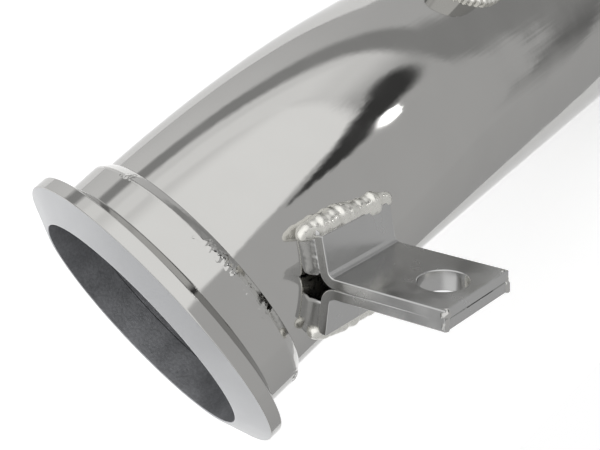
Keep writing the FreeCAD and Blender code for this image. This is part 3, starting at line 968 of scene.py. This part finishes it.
class DOWNPIPE_OT_bracket_welds(bpy.types.Operator):
    """Lays the fat beads along both legs' tips, the short welds at the arm's corners and thin fillets
    between the legs' near edges and the tube"""
    bl_idname = "downpipe.bracket_welds"
    bl_label = "Bracket welds"

    def execute(self, context):
        w = context.scene.downpipe_welds
        b = context.scene.downpipe_bracket
        rng = random.Random(5)
        side_edge = b.width / 2
        foot_up = b.plate + b.fold * (1 - math.sin(b.lean))
        fold_back = b.fold * math.cos(b.lean)
        tip_back = fold_back + (b.leg - foot_up) * math.tan(b.lean)
        tip = (moved(-tip_back - b.plate * math.cos(b.lean), 0, b.leg - b.plate * math.sin(b.lean))
               @ turned(-b.lean, "Y"))
        upper = bracket_seat() @ tip @ moved(-w.upper_back, 0, w.upper_lift) @ turned(-w.upper_slant, "Z")
        lower = (bracket_seat() @ turned(math.pi, "X") @ tip @ moved(-w.lower_back, 0, w.lower_lift)
                 @ turned(w.lower_slant, "Z"))
        drops = 13
        places = []
        for base, radius, near, far in ((upper, w.upper_radius, w.upper_near, w.upper_far),
                                        (lower, w.lower_radius, w.lower_overrun, w.lower_overrun)):
            first = -side_edge - near
            last = side_edge + far
            for index in range(drops):
                share = index / (drops - 1)
                # The drops shrink towards both ends of the bead
                end = min(1, 0.7 + 2 * min(share, 1 - share))
                along = first + radius * 0.6 + (last - first - radius * 1.2) * share
                size = radius * end * rng.uniform(0.93, 1.05)
                places.append(base @ moved(rng.uniform(-0.0004, 0.0002), along + sway(rng, 0.0006),
                                           rng.uniform(-0.0004, 0.0003))
                              @ turned(rng.uniform(-0.25, 0.05), "X") @ turned(sway(rng, 0.3), "Z")
                              @ scaled(size, radius * 0.94, size))
        corner_drops, corner_reach = 7, 0.0033
        corners = []
        for side in (-1, 1):
            for index in range(corner_drops):
                up = -corner_reach + 2 * corner_reach * index / (corner_drops - 1)
                size = w.corner_drop * rng.uniform(0.6, 1.1)
                corners.append(bracket_seat() @ moved(b.arm - 0.001 + rng.uniform(-0.0006, 0.0004),
                                                      side * (side_edge - 0.0012) + sway(rng, 0.0006), up)
                               @ turned(sway(rng, 0.5), "X") @ scaled(size, size, size * 0.8))
        fillet_drops, fillet_back, fillet_inset = 14, 0.003, 0.0013
        fillets = []
        # For each plate: its turn, the side of its near edge and how far up its leg the fillet begins
        for turn, side, first_up in ((0, -1, 0.0042), (math.pi, 1, 0.0075)):
            for index in range(fillet_drops):
                up = first_up + (b.leg - first_up) * index / (fillet_drops - 1)
                low = max(0, foot_up - up)
                back = -fold_back - max(0, up - foot_up) * math.tan(b.lean) - b.plate
                fillets.append(bracket_seat() @ turned(turn, "X")
                               @ moved(back - fillet_back - low, side * (side_edge - fillet_inset), up)
                               @ scaled(0.0052 - low * 0.6, 0.0013 + sway(rng, 0.0001), 0.0019))
        beads = lay("bracket_weld_beads", places)
        corner_beads = lay("corner_beads", corners)
        edge_fillets = lay("edge_fillets", fillets)
        melt(beads, w.grain, passes=26)
        melt(corner_beads, w.grain, passes=4)
        melt(edge_fillets, w.grain, passes=10)
        cope(beads)
        cope(edge_fillets)
        fat = len(beads.data.polygons)
        join_to(beads, corner_beads)
        short = len(beads.data.polygons)
        join_to(beads, edge_fillets)
        smooth(beads, 60)
        dress(beads, ("weld_steel", "seam_steel", "plate_steel"), "bracket_welds")
        for face in beads.data.polygons[fat:]:
            face.material_index = 1 if face.index < short else 2
        return {"FINISHED"}


class DOWNPIPE_OT_boss(bpy.types.Operator):
    """Turns the sensor boss, cuts its thread and copes it to the tube"""
    bl_idname = "downpipe.boss"
    bl_label = "Sensor boss"

    def execute(self, context):
        boss = context.scene.downpipe_boss
        tube_radius = context.scene.downpipe_tube.outer / 2
        outer = boss.outer / 2
        root = boss.root / 2
        top = tube_radius + boss.height
        foot = tube_radius / 2
        points = ((root, 0, foot), (outer, 0, foot), (outer, 0, top - boss.edge), (outer - boss.edge, 0, top),
                  (root + boss.mouth, 0, top), (root, 0, top - boss.mouth))
        body = lathe("sensor_boss_body", points, axis=(0, 0, 1), steps=192)
        break_edges(body, width=0.0002, segments=2)
        seat(body, boss_seat())
        cope(body)
        flank = boss.pitch / 2 * 0.92
        embed = 0.00005
        start_below = 0.001
        low = tube_radius - start_below
        turns = int((top - boss.mouth - low) / boss.pitch)
        ridge = draw_line("thread_ridge", [(boss.crest / 2, 0, low), (root + embed, 0, low + flank),
                                           (root + embed, 0, low - flank)], closed=True)
        edit("EDGE")
        pick()
        bpy.ops.mesh.edge_face_add()
        leave()
        finish_with(ridge, "SCREW", angle=2 * math.pi, screw_offset=boss.pitch, iterations=turns, steps=72,
                    render_steps=72, use_merge_vertices=False)
        take_up(ridge)
        edit()
        outward()
        seat(ridge, boss_seat())
        join_to(body, ridge)
        smooth(body, 35)
        dress(body, ("polished_steel",), "sensor_boss")
        return {"FINISHED"}


class DOWNPIPE_OT_boss_weld(bpy.types.Operator):
    """Lays the weld round the foot of the sensor boss"""
    bl_idname = "downpipe.boss_weld"
    bl_label = "Boss weld"

    def execute(self, context):
        w = context.scene.downpipe_welds
        boss = context.scene.downpipe_boss
        tube_radius = context.scene.downpipe_tube.outer / 2
        rng = random.Random(3)
        beside = 0.0009
        ring = boss.outer / 2 + beside
        drops = 40
        places = []
        for index in range(drops):
            turn = 2 * math.pi * (index + sway(rng, 0.15)) / drops
            across, aside = ring * math.cos(turn), ring * math.sin(turn)
            up = math.sqrt(tube_radius ** 2 - aside ** 2)
            lean = math.atan2(aside, up)
            size = w.boss_drop * rng.uniform(0.92, 1.06)
            places.append(boss_seat() @ moved(across, aside, up + 0.0003) @ turned(-lean, "X")
                          @ turned(turn, "Z") @ turned(sway(rng, 0.2), "X")
                          @ scaled(size * 1.05, size * 0.62, size * 0.95))
        bead = lay("boss_weld_bead", places)
        melt(bead, w.grain, passes=1)
        cope(bead)
        smooth(bead, 60)
        dress(bead, ("weld_steel",), "tube_welds")
        return {"FINISHED"}


class DOWNPIPE_OT_stage(bpy.types.Operator):
    """Sets the floor, the light tent, the white world and the camera"""
    bl_idname = "downpipe.stage"
    bl_label = "Stage"

    def execute(self, context):
        scene = context.scene
        s = scene.downpipe_stage
        finish = scene.downpipe_finish
        start_fresh()
        clearance = 0.0005
        bpy.ops.mesh.primitive_plane_add(size=1, location=(
            (s.table_right - s.table_left) / 2, (s.table_far - s.table_near) / 2, CAD_BOX[0][2] - clearance))
        floor = named("studio_floor")
        bpy.ops.transform.resize(value=(s.table_right + s.table_left, s.table_far + s.table_near, 1))
        freeze()
        material, shader = new_material("studio_floor")
        tree = material.node_tree
        shader.inputs["Roughness"].default_value = 0.8
        cloud = noise(tree, object_place(tree), 9, 3)
        feed(tree, shader.inputs["Base Color"], tinted(tree, finish.floor, cloud, 0.006))
        path = tree.nodes.new("ShaderNodeLightPath").outputs
        seen = calc(tree, "MAXIMUM", path["Is Camera Ray"], path["Is Glossy Ray"])
        seen = calc(tree, "MAXIMUM", seen, path["Is Transmission Ray"])
        shader.inputs["Emission Color"].default_value = (1, 1, 1, 1)
        feed(tree, shader.inputs["Emission Strength"], calc(tree, "MULTIPLY", seen, s.floor_glow))
        floor.data.materials.append(material)

        start_fresh()
        bpy.ops.mesh.primitive_uv_sphere_add(segments=96, ring_count=48, radius=s.tent)
        tent = named("light_tent")
        tent.visible_camera = False
        tent.data.materials.append(tent_cloth(s))

        world = bpy.data.worlds.new("white_backdrop")
        scene.world = world
        world.use_nodes = True
        backdrop = world.node_tree.nodes["Background"]
        backdrop.inputs["Color"].default_value = (1, 1, 1, 1)
        backdrop.inputs["Strength"].default_value = 1

        camera_data = bpy.data.cameras.new("photo_camera")
        camera_data.lens = s.lens
        camera_data.sensor_width = 36
        camera_data.clip_start = 0.01
        camera = bpy.data.objects.new("photo_camera", camera_data)
        scene.collection.objects.link(camera)
        right = Vector(s.right).normalized()
        up = right.cross(Vector(s.forward)).normalized()
        back = right.cross(up)
        camera.matrix_world = Matrix.Translation(s.place) @ Matrix((right, up, back)).transposed().to_4x4()
        scene.camera = camera
        scene.view_settings.view_transform = "Standard"
        return {"FINISHED"}


OPERATORS = (DOWNPIPE_OT_flange, DOWNPIPE_OT_tube, DOWNPIPE_OT_bracket, DOWNPIPE_OT_flange_seam,
             DOWNPIPE_OT_bracket_welds, DOWNPIPE_OT_boss, DOWNPIPE_OT_boss_weld, DOWNPIPE_OT_stage)


class DOWNPIPE_PT_panel(bpy.types.Panel):
    """Lists the pieces in the sidebar"""
    bl_label = "Turbo downpipe"
    bl_idname = "DOWNPIPE_PT_panel"
    bl_space_type = "VIEW_3D"
    bl_region_type = "UI"
    bl_category = "Downpipe"

    def draw(self, context):
        for operator in OPERATORS:
            self.layout.operator(operator.bl_idname)
        for key in GROUPS:
            box = self.layout.box()
            group = getattr(context.scene, key)
            for name in group.bl_rna.properties.keys():
                if name not in ("rna_type", "name"):
                    box.prop(group, name)


CLASSES = (*GROUPS.values(), *OPERATORS, DOWNPIPE_PT_panel)


def register():
    for made in CLASSES:
        bpy.utils.register_class(made)
    for key, group in GROUPS.items():
        setattr(bpy.types.Scene, key, PointerProperty(type=group))


def unregister():
    for key in GROUPS:
        delattr(bpy.types.Scene, key)
    for made in reversed(CLASSES):
        bpy.utils.unregister_class(made)


def main():
    register()
    for step in (bpy.ops.downpipe.flange, bpy.ops.downpipe.tube, bpy.ops.downpipe.bracket,
                 bpy.ops.downpipe.flange_seam, bpy.ops.downpipe.bracket_welds, bpy.ops.downpipe.boss,
                 bpy.ops.downpipe.boss_weld, bpy.ops.downpipe.stage):
        step()


if __name__ == "__main__":
    main()
